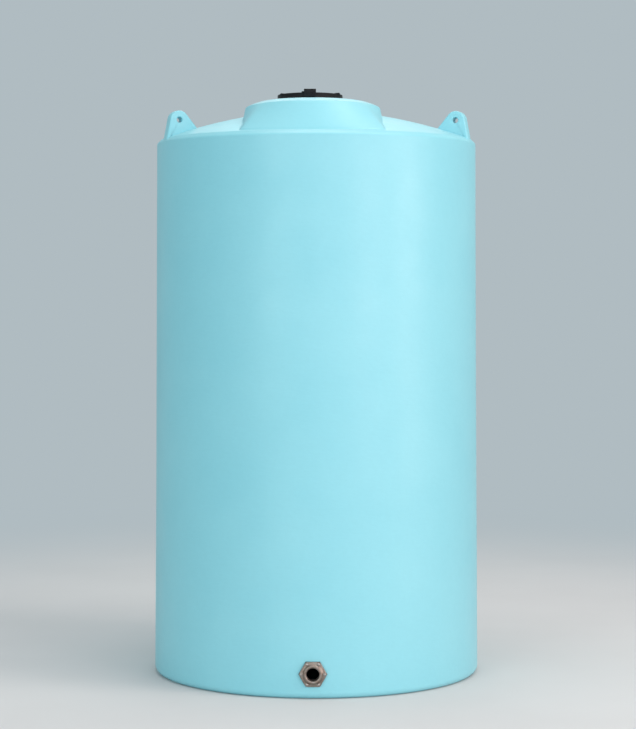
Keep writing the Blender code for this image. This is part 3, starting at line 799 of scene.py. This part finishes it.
def nearest_on(outline, spot):
    """The point of an outline nearest to a spot, with its distance and where along the outline it is."""
    best = (math.inf, None, 0)
    for i, (start, end) in enumerate(zip(outline, outline[1:])):
        run = end - start
        share = max(0.0, min(1.0, (spot - start).dot(run) / run.length_squared))
        point = start + run * share
        distance = (spot - point).length
        if distance < best[0]:
            best = (distance, point, i)
    return best


def resampled(points, count):
    """The same path in equal steps."""
    lengths = [0.0]
    for start, end in zip(points, points[1:]):
        lengths.append(lengths[-1] + (end - start).length)
    result = []
    index = 0
    for step in range(count + 1):
        goal = lengths[-1] * step / count
        while index < len(points) - 2 and lengths[index + 1] < goal:
            index += 1
        span = max(lengths[index + 1] - lengths[index], 1e-9)
        result.append(points[index].lerp(points[index + 1], min(1.0, (goal - lengths[index]) / span)))
    return result


def platform_profile(angle):
    """The side at one angle as distances and heights: its root under the roof's skin, a fillet out of
    the roof, the drafted side, the turn and the gentle slope of the top."""
    outline = platform_outline(angle)
    foot = next(p for p in outline if p.y <= roof_beside(angle, p.x)[0])
    fillet = FILLET * (1 + FILLET_GROWTH * (1 - math.cos(angle)) / 2)

    def centre_over(distance):
        height, rise = roof_beside(angle, distance)
        return Vector((distance, height)) + Vector((-rise, 1)).normalized() * fillet

    def too_near(distance):
        return nearest_on(outline, centre_over(distance))[0] < fillet

    far = crossing(foot.x, foot.x + 1.5 * fillet, 22, too_near)
    middle = centre_over(far)
    _, touch, index = nearest_on(outline, middle)
    ground = Vector((far, roof_beside(angle, far)[0]))
    first = math.atan2(ground.y - middle.y, ground.x - middle.x)
    last = math.atan2(touch.y - middle.y, touch.x - middle.x)
    sweep = (last - first + math.pi) % (2 * math.pi) - math.pi
    arc_steps = 9
    turns = [first + sweep * i / arc_steps for i in range(arc_steps + 1)]
    arc = [middle + fillet * heading(a) for a in turns]
    side = resampled([touch] + outline[index::-1], PLATFORM_SIDE_STEPS)
    inner_root = Vector((foot.x - 0.002, roof_beside(angle, foot.x)[0] - ROOT_SINK))
    outer_root = ground - Vector((0.003, ROOT_SINK))
    return [inner_root, outer_root] + arc + side[1:]


def platform_inside(angle, root_height):
    """The inner skin at one angle, from under the top down to the root."""
    low = min(root_height, PLATFORM_TOP - SKIN - 0.001)
    outline = platform_outline(angle, SKIN)
    inside = [p for p in outline if p.y > low]
    end = outline[len(inside)] if len(inside) < len(outline) else outline[-1]
    above = inside[-1]
    foot = above.lerp(end, (above.y - low) / max(above.y - end.y, 1e-6))
    return resampled(inside + [foot], PLATFORM_INSIDE_STEPS)


def make_platform():
    """The hollow pedestal under the manway, with its foot let into the roof by a few millimetres."""
    angles = platform_angles()
    profiles = [platform_profile(a) for a in angles]
    rings = []
    for step in range(len(profiles[0])):
        rings.append([platform_spot(a, *profile[step]) for a, profile in zip(angles, profiles)])
    edge = [(x, y) for x, y, _ in rings[-1]]

    def round_manway(radius):
        return [(MANWAY.x + radius * math.sin(a), MANWAY.y - radius * math.cos(a)) for a in angles]

    def crowned(spots, drop):
        ring = []
        for angle, (x, y) in zip(angles, spots):
            distance = math.hypot(x - PLATFORM_X, y - PLATFORM_Y)
            ring.append((x, y, PLATFORM_TOP + platform_crown(angle, distance) - drop))
        return ring

    lip = round_manway(RECESS + RECESS_LIP)
    for share in (0.2, 0.4, 0.6, 0.8, 1.0):
        spots = [(x0 + (x1 - x0) * share, y0 + (y1 - y0) * share)
                 for (x0, y0), (x1, y1) in zip(edge, lip)]
        rings.append(crowned(spots, 0.0))
    rings.append(crowned(round_manway(RECESS + RECESS_EDGE), RECESS_EDGE))
    rings.append([(x, y, PLATFORM_TOP - SEAT_DROP) for x, y in round_manway(RECESS)])
    throat = round_manway(SPIGOT + THROAT_GAP)
    rings.append([(x, y, PLATFORM_TOP - SEAT_DROP) for x, y in throat])
    rings.append([(x, y, PLATFORM_TOP - SKIN) for x, y in throat])
    insides = [platform_inside(a, profile[0].y) for a, profile in zip(angles, profiles)]
    for step in range(len(insides[0])):
        rings.append([platform_spot(a, *inside[step]) for a, inside in zip(angles, insides)])
    new_piece("platform_moulding", lofted(rings, wrap=True), POLYETHYLENE, "tank",
              ["manway_platform"], SOFT_SHARP)


# Lifting lugs

def lug_outline():
    """Side view of a lug above the roof: up its outer side, round the top about the eye and down its
    inner side. Each point comes with its outward direction and the rounding of its edge."""
    eye = Vector(LUG_EYE)

    def tangent(foot, side):
        reach_out = Vector(foot) - eye
        return math.atan2(reach_out.y, reach_out.x) + side * math.acos(LUG_TOP_RADIUS / reach_out.length)

    def under_roof(start, end):
        """Where a line from above goes so far under the roof that its end is hidden."""
        def above(share):
            spot = start.lerp(end, share)
            return spot.y > roof_height(spot.x) - LUG_ROOT

        return start.lerp(end, crossing(0.0, 1.0, 24, above))

    first = tangent(LUG_OUTER_FOOT, 1)
    last = tangent(LUG_INNER_FOOT, -1) % (2 * math.pi)
    outs = [heading(first), heading(last)]
    corners = [eye + LUG_TOP_RADIUS * out for out in outs]
    outer_root = under_roof(corners[0], Vector(LUG_OUTER_FOOT))
    inner_root = under_roof(corners[1], Vector(LUG_INNER_FOOT))
    side_steps = 20
    path = []
    for i in range(side_steps):
        share = i / side_steps
        edge = LUG_FOOT_EDGE + (LUG_EDGE - LUG_FOOT_EDGE) * share
        path.append((outer_root.lerp(corners[0], share), outs[0], edge))
    arc_steps = 40
    for i in range(arc_steps):
        out = heading(first + (last - first) * i / arc_steps)
        path.append((eye + LUG_TOP_RADIUS * out, out, LUG_EDGE))
    for i in range(side_steps + 1):
        path.append((corners[1].lerp(inner_root, i / side_steps), outs[1], LUG_EDGE))
    return path


def lug_root(inner, outer):
    """The hidden way under the roof's skin from the foot of the inner side to that of the outer."""
    steps = 30
    way = []
    for i in range(1, steps):
        share = i / steps
        radius = inner[0].x + (outer[0].x - inner[0].x) * share
        depth = inner[1] + (outer[1] - inner[1]) * share
        way.append((Vector((radius, roof_height(radius) - LUG_ROOT)), depth))
    return way


def lug_mesh():
    """A solid lug round its eye, with flat cheeks and rounded edges. Its foot ends under the roof."""
    eye = Vector(LUG_EYE)
    half = LUG_THICKNESS / 2
    side = []
    edge_steps = 5
    for step in range(edge_steps + 1):
        angle = math.pi / 2 * step / edge_steps
        row = [(point - out * edge * (1 - math.cos(angle)), half - edge * (1 - math.sin(angle)))
               for point, out, edge in lug_outline()]
        side.append(row + lug_root(row[-1], row[0]))
    rims = [spot for spot, _ in side[-1]]
    ways = [(rim - eye).normalized() for rim in rims]
    mouth = LUG_EYE_RADIUS + EYE_MOUTH
    for share in (0.98, 0.85, 0.60, 0.30, 0.0):
        side.append([((eye + way * mouth).lerp(rim, share), half) for rim, way in zip(rims, ways)])
    mouth_steps = 3
    for step in range(1, mouth_steps + 1):
        angle = math.pi / 2 * step / mouth_steps
        reach_out = LUG_EYE_RADIUS + EYE_MOUTH * (1 - math.sin(angle))
        depth = half - EYE_MOUTH * (1 - math.cos(angle))
        side.append([(eye + way * reach_out, depth) for way in ways])
    rings = [[(spot.x, depth, spot.y) for spot, depth in row] for row in side]
    rings += [[(spot.x, -depth, spot.y) for spot, depth in row] for row in reversed(side)]
    return lofted(rings, wrap=True)


def make_lugs():
    for side, azimuth in LUG_AZIMUTHS.items():
        turn = Matrix.Rotation(math.radians(azimuth), 3, "Z")
        mesh = moved(lug_mesh(), (0, 0, 0), turn)
        new_piece(f"lug_{side}_moulding", mesh, POLYETHYLENE, "tank",
                  [f"lifting_lug_{side}"], SOFT_SHARP)


# Manway

MANWAY_FOOT = Vector((MANWAY.x, MANWAY.y, PLATFORM_TOP))


def at_manway(mesh, turn=0.0):
    return moved(mesh, MANWAY_FOOT, Matrix.Rotation(math.radians(turn), 3, "Z"))


def make_ring():
    """The ring flange with its threaded neck, the hinge's ears and the screws that hold it down."""
    thread = []
    for i in range(THREAD_BEADS):
        low = RING_TOP + THREAD_START + i * THREAD_PITCH
        crest = NECK + THREAD_DEPTH
        thread += [(NECK, low), (crest, low + THREAD_BEAD / 3), (crest, low + THREAD_BEAD * 2 / 3),
                   (NECK, low + THREAD_BEAD)]
    corners = [(THROAT, -SPIGOT_DEPTH), (SPIGOT, -SPIGOT_DEPTH), (SPIGOT, 0.0), (RING_FLANGE, 0.0, 0.001),
               (RING_FLANGE, RING_TOP, 0.004), (NECK, RING_TOP, 0.003)]
    corners += thread + [(NECK, NECK_TOP, 0.002), (THROAT, NECK_TOP, 0.002)]
    ring = turned(rounded_profile(corners), 120, wrap=True)
    new_piece("manway_ring_moulding", combined([at_manway(ring)] + ring_ears()), BLACK_PLASTIC,
              "tank", ["manway_ring"])
    screws = []
    for i in range(SCREWS):
        head = moved(turned(SCREW_HEAD, 20), (0, -SCREW_CIRCLE, RING_TOP))
        screws.append(at_manway(head, 360 * (i + 0.5) / SCREWS))
    new_piece("ring_screws", combined(screws), BRIGHT, "tank")


def ring_ears():
    """The tab at the back of the ring and two ears that hold the hinge pin."""
    width, length = HINGE_TAB
    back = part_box("manway_ring")[1].y
    tab = rounded_block((width, length, RING_TOP),
                        (MANWAY.x, back - length / 2, PLATFORM_TOP + RING_TOP / 2), 0.003)
    foot = PLATFORM_TOP + RING_TOP - EAR_SINK
    outline = [(HINGE.y - EAR_RADIUS, foot), (HINGE.y + EAR_RADIUS, foot)]
    top_steps = 16
    for i in range(1, top_steps):
        angle = math.pi * i / top_steps
        outline.append((HINGE.y + EAR_RADIUS * math.cos(angle), HINGE.z + EAR_RADIUS * math.sin(angle)))
    ears = []
    for start in (-EAR_START - EAR_THICKNESS, EAR_START):
        left = MANWAY.x + start
        ears.append(rounded_plate(outline, left, left + EAR_THICKNESS, 0.0012))
    return [tab] + ears


def lid_profile():
    """Half section of the lid, from the middle of its top, over the rim and back underneath."""
    hub_top = LID_PANEL + 0.003
    bead_top = LID_PANEL + 0.002
    lip = LID_RADIUS + LID_LIP
    inner_rim = LID_RADIUS - 0.008
    hub = [(0, hub_top), (0.022, hub_top, 0.0015), (0.026, LID_PANEL, LID_SOFT)]
    bead = [(0.088, LID_PANEL, LID_SOFT), (0.091, bead_top, LID_SOFT), (0.097, bead_top, LID_SOFT),
            (0.100, LID_PANEL, LID_SOFT)]
    rim = [(0.192, LID_PANEL, 0.003), (0.199, LID_TOP, 0.003), (LID_RADIUS, LID_TOP, 0.0065),
           (LID_RADIUS, LID_BOTTOM + 0.009, LID_SOFT), (lip, LID_BOTTOM + 0.005, 0.0015),
           (lip, LID_BOTTOM, 0.0012), (inner_rim, LID_BOTTOM, LID_SOFT)]
    under = [(inner_rim, LID_UNDERSIDE, 0.002), (0.186, LID_UNDERSIDE, LID_SOFT),
             (0.183, LID_UNDERSIDE + 0.002, LID_SOFT), (0, LID_UNDERSIDE + 0.002)]
    return rounded_profile(hub + bead + rim + under)


def make_lid():
    """The lid with its ribs, clips and the hinge's knuckle."""
    parts = [at_manway(turned(lid_profile(), 144))]
    for i in range(LID_RIBS):
        for size, radius, rounding in (LID_RIB, LID_INNER_RIB):
            rib = rounded_block(size, (0, -radius, LID_PANEL), rounding)
            parts.append(at_manway(rib, 360 * (i + 0.5) / LID_RIBS))
    clip_y = 0.009 - LID_RADIUS
    for angle, height in LID_CLIPS:
        clip = rounded_block((0.040, 0.026, 0.014), (0, clip_y, height), 0.004)
        groove = rounded_block((0.012, 0.030, 0.004), (0, clip_y, height + 0.0062), 0.0015)
        parts += [at_manway(clip, angle), at_manway(groove, angle)]
    arm = rounded_block((0.060, 0.030, 0.010), (MANWAY.x, HINGE.y - 0.013, HINGE.z), 0.003)
    half = KNUCKLE_HALF_LENGTH
    barrel = turned(rounded_profile([(0, half), (KNUCKLE_RADIUS, half, 0.001),
                                     (KNUCKLE_RADIUS, -half, 0.001), (0, -half)]), 32)
    knuckle = moved(barrel, (MANWAY.x, HINGE.y, HINGE.z), Matrix.Rotation(math.pi / 2, 3, "Y"))
    new_piece("lid_moulding", combined(parts + [arm, knuckle]), BLACK_PLASTIC, "lid",
              ["manway_lid"])


def make_latch():
    """The block that hooks over the front of the rim, with a thumb tab at its left."""
    low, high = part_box("lid_latch")
    rim = MANWAY.y - LID_RADIUS - LID_LIP - 0.0005
    rest = PLATFORM_TOP + LID_TOP + 0.001
    outline = [(low.y, low.z), (rim, low.z), (rim, rest), (high.y, rest), (high.y, high.z - 0.004),
               (high.y - 0.004, high.z), (low.y + 0.003, high.z), (low.y, high.z - 0.003)]
    parts = [rounded_plate(outline, low.x, high.x, 0.0022),
             rounded_block((0.030, 0.026, 0.012), (low.x - 0.001, rim + 0.012, rest), 0.004)]
    for i in range(LATCH_GRIPS):
        place = (MANWAY.x, low.y - 0.0002, low.z + 0.016 + 0.009 * i)
        parts.append(rounded_block((LATCH_WIDTH - 0.018, 0.0022, 0.0045), place, 0.001))
    new_piece("latch_block", combined(parts), BLACK_PLASTIC, "lid", ["lid_latch"])


def make_hinge_pin():
    """The hinge's pin with a low head at both ends."""
    low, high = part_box("hinge_pin")
    half = (high.x - low.x) / 2
    shank = half - PIN_HEAD
    end = [(0, half), (PIN_HEAD_RADIUS, half, 0.0015), (PIN_HEAD_RADIUS, shank, 0.0005), (PIN_RADIUS, shank)]
    corners = end + [(corner[0], -corner[1], *corner[2:]) for corner in reversed(end)]
    pin = moved(turned(rounded_profile(corners), 28), HINGE, Matrix.Rotation(math.pi / 2, 3, "Y"))
    new_piece("hinge_pin_bar", pin, BRIGHT, "tank", ["hinge_pin"])


# Outlet fitting

def hexagon_reach(angle, radius):
    """Distance to the edge of a hexagon with rounded corners, which point left and right."""
    sixth = math.pi / 3
    straight = radius * math.cos(sixth / 2) / math.cos((angle % sixth) - sixth / 2)
    return (straight ** -HEX_POWER + (radius * HEX_ROUND_CORNER) ** -HEX_POWER) ** (-1 / HEX_POWER)


def fitting_ring(radius, depth, roundness):
    """A ring round the fitting: a hexagon at roundness 0, a circle at 1. Depth is toward the front."""
    ring = []
    for i in range(FITTING_STEPS):
        angle = 2 * math.pi * i / FITTING_STEPS
        out = hexagon_reach(angle, radius) * (1 - roundness) + radius * roundness
        ring.append((OUTLET.x + out * math.cos(angle), FLANGE_BACK - depth, OUTLET.z + out * math.sin(angle)))
    return ring


def make_flange():
    """Cast hexagonal flange with a coned boss that rises to the hub."""
    hub = FLANGE_BACK - HUB_FACE
    edge_start = FLANGE_THICKNESS - FLANGE_EDGE - FLANGE_FACE_RISE
    rows = [(HEX_RADIUS - 0.0015, 0.0, 0), (HEX_RADIUS, 0.0015, 0), (HEX_RADIUS, edge_start, 0)]
    edge_steps = 4
    for step in range(1, edge_steps + 1):
        angle = math.pi / 2 * step / edge_steps
        rows.append((HEX_RADIUS - FLANGE_EDGE * (1 - math.cos(angle)),
                     edge_start + FLANGE_EDGE * math.sin(angle), 0))
    rows += [(radius, FLANGE_THICKNESS + rise, roundness) for radius, rise, roundness in CONE]
    rows += [(radius, hub - drop, 1) for radius, drop in HUB]
    bore = THREAD_ROOT + THREAD_CLEARANCE
    rows += [(bore, hub - 0.0022, 1), (bore, 0.0, 1)]
    rings = [fitting_ring(*row) for row in rows]
    new_piece("outlet_flange_casting", lofted(rings, wrap=True), CAST, "tank",
              ["outlet_outer_flange"])


def make_bore():
    """The threaded liner of the outlet's bore, painted dark as the shade inside the bore."""
    hub = FLANGE_BACK - HUB_FACE
    outside = THREAD_ROOT + 0.0003
    rows = [(outside, hub - 0.0024)]
    for i in range(BORE_TURNS):
        depth = hub - 0.0026 - i * BORE_PITCH
        rows += [(THREAD_ROOT, depth), (OUTLET_BORE, depth - BORE_PITCH / 2)]
    rows += [(OUTLET_BORE, BORE_END), (outside, BORE_END)]
    rings = [fitting_ring(radius, depth, 1) for radius, depth in rows]
    new_piece("outlet_bore_thread", lofted(rings, wrap=True), BORE_SHADE_STAINLESS, "tank")


def bolt_body(middle, turn, rows):
    """A body turned about a bolt's middle, from rows of radius, place along Y, and hexagon or circle."""
    rings = []
    for radius, out, hexagon in rows:
        if radius == 0:
            rings.append([(middle.x, out, middle.z)])
            continue
        ring = []
        for i in range(BOLT_STEPS):
            angle = 2 * math.pi * i / BOLT_STEPS
            far = radius
            if hexagon:
                far = min(radius, radius * BOLT_FLAT / math.cos((angle % (math.pi / 3)) - math.pi / 6))
            side, up = heading(angle + turn) * far
            ring.append((middle.x + side, out, middle.z + up))
        rings.append(ring)
    return lofted(rings)


def make_bolts():
    """Each outlet bolt: a washer, a hexagonal head with a domed top, its shank and the nut inside."""
    seat = FLANGE_BACK - FLANGE_THICKNESS
    nut_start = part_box("outlet_inner_flange")[1].y + NUT_GAP
    for index in range(BOLTS):
        low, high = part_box(f"outlet_bolt_{index + 1}")
        middle = (low + high) / 2
        rows = [(radius, low.y + along, hexagon) for radius, along, hexagon in BOLT_HEAD]
        rows += [(radius, seat + along, hexagon) for radius, along, hexagon in BOLT_SEAT]
        rows += [(SHANK_RADIUS, high.y, False), (0, high.y, False)]
        nut = [(radius, nut_start + along, hexagon) for radius, along, hexagon in NUT]
        bodies = [bolt_body(middle, index * BOLT_TURN, part) for part in (rows, nut)]
        new_piece(f"bolt_{index + 1}_hexagon_head", combined(bodies), BRIGHT, "tank",
                  [f"outlet_bolt_{index + 1}"])


def dress_kept_solids():
    """Solids that keep their own shape get the same finishes."""
    finishes = {"manway_gasket": RUBBER, "outlet_outer_gasket": RUBBER, "outlet_inner_gasket": RUBBER,
                "outlet_inner_flange": CAST}
    for node, finish in finishes.items():
        data = frame["nodes"][node].data
        data.materials.clear()
        data.materials.append(finish)


# Studio

def make_floor():
    """A wide pale floor. Far out it takes on the world's own colour, so that no horizon shows."""
    mesh = bmesh.new()
    bmesh.ops.create_circle(mesh, cap_ends=True, radius=FLOOR_RADIUS, segments=64)
    data = mesh_data("studio_floor", mesh)
    floor = add_object("studio_floor", data)
    material, tree, shader = new_finish("studio floor", Roughness=0.9, Specular_IOR_Level=0.0)
    where = add_node(tree, "ShaderNodeTexCoord").outputs["Object"]
    far = add_node(tree, "ShaderNodeVectorMath", {0: where}, operation="LENGTH").outputs["Value"]
    near_end, far_end = FLOOR_FADE
    fade = add_node(tree, "ShaderNodeMapRange", {"Value": far, "From Min": near_end, "From Max": far_end},
                    interpolation_type="SMOOTHERSTEP").outputs["Result"]
    pale = blended(tree, patchy(tree, 1.6, 21.0), (0.66, 0.65, 0.64), (0.68, 0.67, 0.66))
    black = (0.0, 0.0, 0.0)
    glow = [part * WORLD_STRENGTH for part in WORLD_COLOUR]
    tree.links.new(blended(tree, fade, pale, black), shader["Base Color"])
    tree.links.new(blended(tree, fade, black, glow), shader["Emission Color"])
    shader["Emission Strength"].default_value = 1.0
    data.materials.append(material)


def make_light(azimuth, elevation, distance, size, power, colour):
    """A soft square light aimed at the tank's middle. The azimuth runs from the front to the right."""
    name = f"soft_light_{azimuth}_{elevation}"
    data = bpy.data.lights.new(name, "AREA")
    data.shape = "SQUARE"
    data.size = size
    data.energy = power
    data.color = colour
    light = add_object(name, data)
    turn = math.radians(azimuth)
    lift = math.radians(elevation)
    way = Vector((math.sin(turn) * math.cos(lift), -math.cos(turn) * math.cos(lift), math.sin(lift)))
    light.location = Vector((0, 0, LIGHT_AIM)) + way * distance
    light.rotation_euler = (-way).to_track_quat("-Z", "Y").to_euler()
    light.visible_camera = False


def make_studio():
    world = bpy.data.worlds.new("pale studio")
    bpy.context.scene.world = world
    world.use_nodes = True
    backdrop = world.node_tree.nodes["Background"].inputs
    backdrop["Color"].default_value = (*WORLD_COLOUR, 1.0)
    backdrop["Strength"].default_value = WORLD_STRENGTH
    make_floor()
    for place, size, power, colour in STUDIO_LIGHTS:
        make_light(*place, size, power, colour)
    view = bpy.context.scene.view_settings
    view.view_transform = "Standard"
    view.look = "None"


def make_camera():
    data = bpy.data.cameras.new("photo_camera")
    data.lens = CAMERA_LENS
    data.shift_x, data.shift_y = CAMERA_SHIFT
    data.clip_end = 1000.0
    camera = add_object("photo_camera", data)
    camera.location = (0, -CAMERA_DISTANCE, CAMERA_HEIGHT)
    camera.rotation_euler = (math.pi / 2, 0, 0)
    bpy.context.scene.camera = camera


make_camera()
make_studio()
make_body()
make_platform()
make_lugs()
make_ring()
make_lid()
make_latch()
make_hinge_pin()
make_flange()
make_bore()
make_bolts()
dress_kept_solids()
